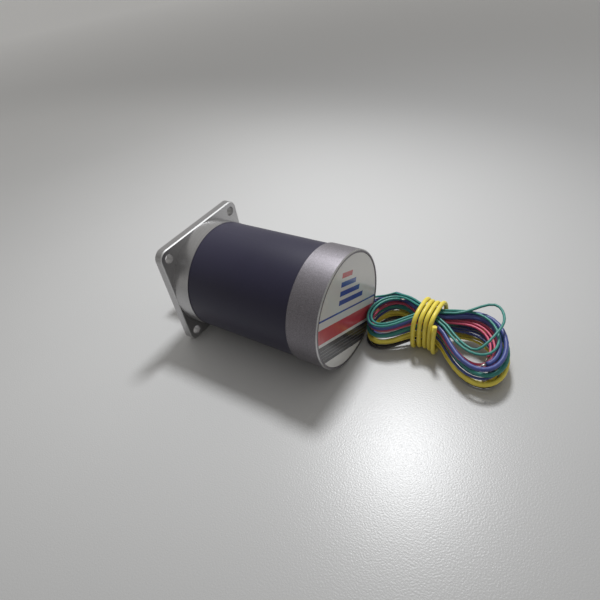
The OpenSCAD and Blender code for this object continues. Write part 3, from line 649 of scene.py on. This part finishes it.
# Floor
# Half of its width is in metres. Its painted shade and painted light are placed in millimetres:
# away from a point in front of the motor's flange painted shade darkens it, and towards the
# horizon painted light makes it pale again.
FLOOR_HALF = 6.0
PALE_AT, PALE_SQUASH = (290.0, -29.0), 0.61
PAINTED_SHADE_SPAN, PAINTED_SHADE_LEVEL = (181.0, 400.0), 0.38
PAINTED_LIGHT_SPAN, PAINTED_LIGHT_LEVEL = (330.0, 1500.0), 0.9


def floor_finish(name):
    """Pale matt top with a fine grain, with painted shade away from a point in front of the flange and
    painted light towards the horizon.
    """
    g = material_graph(name)
    x, y, z = g.place()
    where = g.join(x, y, z)
    fine = g.noise(where, scale=1.5, detail=2.0)
    slow = g.noise(where, scale=0.01, detail=2.0)
    shade = g.mix(slow, (0.56, 0.56, 0.557), (0.588, 0.587, 0.584))
    aside_x = g.math("MULTIPLY", g.math("SUBTRACT", x, PALE_AT[0]), PALE_SQUASH)
    aside = g.radius(aside_x, g.math("SUBTRACT", y, PALE_AT[1]))
    # Painted shade: the floor darkens away from a point in front of the flange.
    shade = g.mix(g.span(aside, 0.0, 1.0, between=PAINTED_SHADE_SPAN, kind="SMOOTHSTEP"), shade, grey(PAINTED_SHADE_LEVEL))
    # Painted light: the floor grows pale again towards the horizon.
    shade = g.mix(g.span(g.radius(x, y), 0.0, 1.0, between=PAINTED_LIGHT_SPAN), shade, grey(PAINTED_LIGHT_LEVEL))
    g.bump(fine, distance=0.0002, strength=0.35)
    return g.finish(shade, g.span(fine, 0.29, 0.38), Specular_IOR_Level=0.56)


def add_floor():
    mesh = bpy.data.meshes.new("floor")
    ways = [(-1, -1), (1, -1), (1, 1), (-1, 1)]
    corners = [(x * FLOOR_HALF, y * FLOOR_HALF, FLOOR_Z * MM) for x, y in ways]
    mesh.from_pydata(corners, [], [(0, 1, 2, 3)])
    mesh.materials.append(floor_finish("floor"))
    floor = bpy.data.objects.new("floor", mesh)
    scene.collection.objects.link(floor)


# Key light, a small lamp above the side that the camera doesn't see, in metres and watts
KEY_AIM = Vector((-0.06, 0.0, -0.01))
KEY_TURN = Vector((0.055, -0.430, 0.901)).normalized()
KEY_AWAY, KEY_SIZE, KEY_POWER = 0.4, 0.072, 1.32
KEY_COLOUR = (0.965, 0.98, 1.0)


def add_key():
    data = bpy.data.lights.new("key", "AREA")
    data.shape = "DISK"
    data.size = KEY_SIZE
    data.energy = KEY_POWER
    data.color = KEY_COLOUR
    obj = bpy.data.objects.new("key", data)
    scene.collection.objects.link(obj)
    obj.location = KEY_AIM + KEY_TURN * KEY_AWAY
    obj.rotation_euler = KEY_TURN.to_track_quat("Z", "Y").to_euler()


# World: strengths of the sky away from its brightest way and towards it, and of the band at
# the horizon
SKY_TURN = Vector((0.1, -0.55, 0.83)).normalized()
SKY_SPAN, SKY_LOW, SKY_HIGH = (-0.7, 1.0), 0.10, 0.48
BAND_SPAN, BAND_LEVEL = (0.02, 0.5), 0.5
SKY_COLOUR = (1.0, 0.985, 0.955)


def add_world():
    """Soft light, strongest from behind and above, with an even pale band at the horizon."""
    world = bpy.data.worlds.new("world")
    scene.world = world
    g = Graph(world, "Background")
    way = g.coordinate("Generated")
    facing = g.node("ShaderNodeVectorMath", operation="DOT_PRODUCT")
    g.put(facing.inputs[0], way)
    g.put(facing.inputs[1], SKY_TURN)
    sky = g.span(facing.outputs["Value"], SKY_LOW, SKY_HIGH, between=SKY_SPAN, kind="SMOOTHSTEP")
    height = g.apart(way)[2]
    band = g.span(height, BAND_LEVEL, 0.0, between=BAND_SPAN, kind="SMOOTHSTEP")
    g.put(g.shader.inputs["Color"], (*SKY_COLOUR, 1.0))
    g.put(g.shader.inputs["Strength"], g.math("MAXIMUM", sky, band))


add_floor()
add_world()
add_key()
